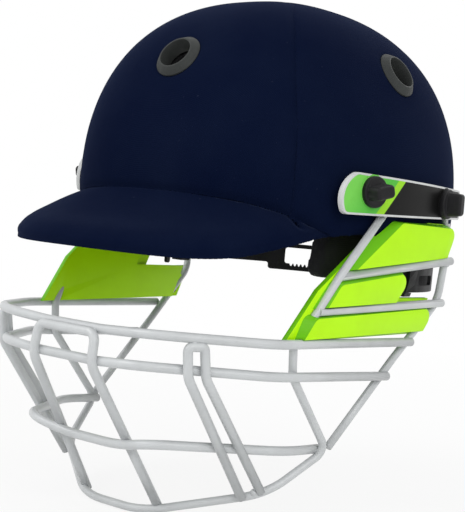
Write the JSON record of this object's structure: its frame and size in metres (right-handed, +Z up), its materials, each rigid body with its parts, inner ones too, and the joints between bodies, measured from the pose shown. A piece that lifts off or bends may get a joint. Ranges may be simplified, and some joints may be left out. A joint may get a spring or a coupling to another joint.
{
  "type": "cricket helmet",
  "caption": "Cloth-covered cricket helmet with a peak, a welded wire face guard on wing screws, ear guards, padded liner and a geared nape adjuster.",
  "frame": {"origin": "centre of the shell's widest level, in the middle between its two sides", "axes": "+Z up towards the crown, -Y towards the face guard, +X towards the wearer's left side"},
  "size_m": [0.2584, 0.3185, 0.3176],
  "materials": {
    "cover_cloth": "matte",
    "shell_plastic": "satin",
    "black_plastic": "satin",
    "foam": "matte",
    "pad_cloth": "matte",
    "strip_white": "satin",
    "strip_label": "satin",
    "powder_coat": "satin",
    "lime_plastic": "satin",
    "nut_brass": "satin",
    "rivet_steel": "satin"
  },
  "bodies": {
    "helmet": {"shell": "shell_plastic", "cover_front": "cover_cloth", "cover_rear": "cover_cloth", "cover_peak": "cover_cloth", "vent_front": "black_plastic", "vent_back": "black_plastic", "vent_left": "black_plastic", "vent_right": "black_plastic", "strip_nuts": "nut_brass", "impact_liner": "foam", "brow_pad": "pad_cloth", "rear_pad": "pad_cloth", "crown_pad": "pad_cloth", "side_pad_left": "pad_cloth", "side_pad_right": "pad_cloth", "side_strip_left": "strip_white", "side_strip_right": "strip_white", "strip_label_left": "strip_label", "strip_label_right": "strip_label", "housing_outer": "black_plastic", "housing_inner": "black_plastic", "nape_pad": "pad_cloth", "nape_hanger": "black_plastic", "hanger_left": "black_plastic", "hanger_right": "black_plastic", "hanger_rivets": "rivet_steel"},
    "face_guard": {"frame_rod": "powder_coat", "mounting_loop_left": "powder_coat", "mounting_loop_right": "powder_coat", "top_bar": "powder_coat", "second_bar": "powder_coat", "third_bar": "powder_coat", "centre_hairpin": "powder_coat", "side_hairpin_left": "powder_coat", "side_hairpin_right": "powder_coat", "rear_stay_left": "powder_coat", "rear_stay_right": "powder_coat", "side_bar_upper_left": "powder_coat", "side_bar_upper_right": "powder_coat", "side_bar_lower_left": "powder_coat", "side_bar_lower_right": "powder_coat", "ear_guard_left": "lime_plastic", "ear_guard_right": "lime_plastic"},
    "wing_screw_front_left": {"wing_screw_front_left": "black_plastic"},
    "wing_screw_rear_left": {"wing_screw_rear_left": "black_plastic"},
    "wing_screw_front_right": {"wing_screw_front_right": "black_plastic"},
    "wing_screw_rear_right": {"wing_screw_rear_right": "black_plastic"},
    "nape_dial": {"dial": "black_plastic", "pinion": "black_plastic"},
    "nape_band_left": {"rack_band_left": "black_plastic"},
    "nape_band_right": {"rack_band_right": "black_plastic"}
  },
  "joints": [
    {"name": "face_guard_slide", "type": "slide", "parent": "helmet", "child": "face_guard", "axis": [0, -1, 0], "range_m": [-0.003, 0.003]},
    {"name": "dial_turn", "type": "hinge", "parent": "helmet", "child": "nape_dial", "pos_m": [0, 0.1276, -0.0425], "axis": [0, -1, 0], "range_deg": [0, 90]},
    {"name": "band_left_slide", "type": "hinge", "parent": "helmet", "child": "nape_band_left", "pos_m": [0, 0.028, -0.0425], "axis": [0, 0, 1], "range_deg": [0, 5.5]},
    {"name": "band_right_slide", "type": "hinge", "parent": "helmet", "child": "nape_band_right", "pos_m": [0, 0.028, -0.0425], "axis": [0, 0, -1], "range_deg": [0, 5.5]},
    {"name": "wing_screw_front_left_turn", "type": "hinge", "parent": "helmet", "child": "wing_screw_front_left", "pos_m": [0.11341, -0.0499, 0.0075], "axis": [0.9777, -0.2099, 0], "continuous": true},
    {"name": "wing_screw_front_right_turn", "type": "hinge", "parent": "helmet", "child": "wing_screw_front_right", "pos_m": [-0.11341, -0.0499, 0.0075], "axis": [-0.9777, -0.2099, 0], "continuous": true},
    {"name": "wing_screw_rear_left_turn", "type": "hinge", "parent": "helmet", "child": "wing_screw_rear_left", "pos_m": [0.1168, 0.0279, 0.0051], "axis": [0.9923, 0.124, 0], "continuous": true},
    {"name": "wing_screw_rear_right_turn", "type": "hinge", "parent": "helmet", "child": "wing_screw_rear_right", "pos_m": [-0.1168, 0.0279, 0.0051], "axis": [-0.9923, 0.124, 0], "continuous": true}
  ],
  "couplings": [
    {"joint": "band_left_slide", "follows": "dial_turn", "ratio": 0.058977},
    {"joint": "band_right_slide", "follows": "dial_turn", "ratio": 0.060502}
  ]
}
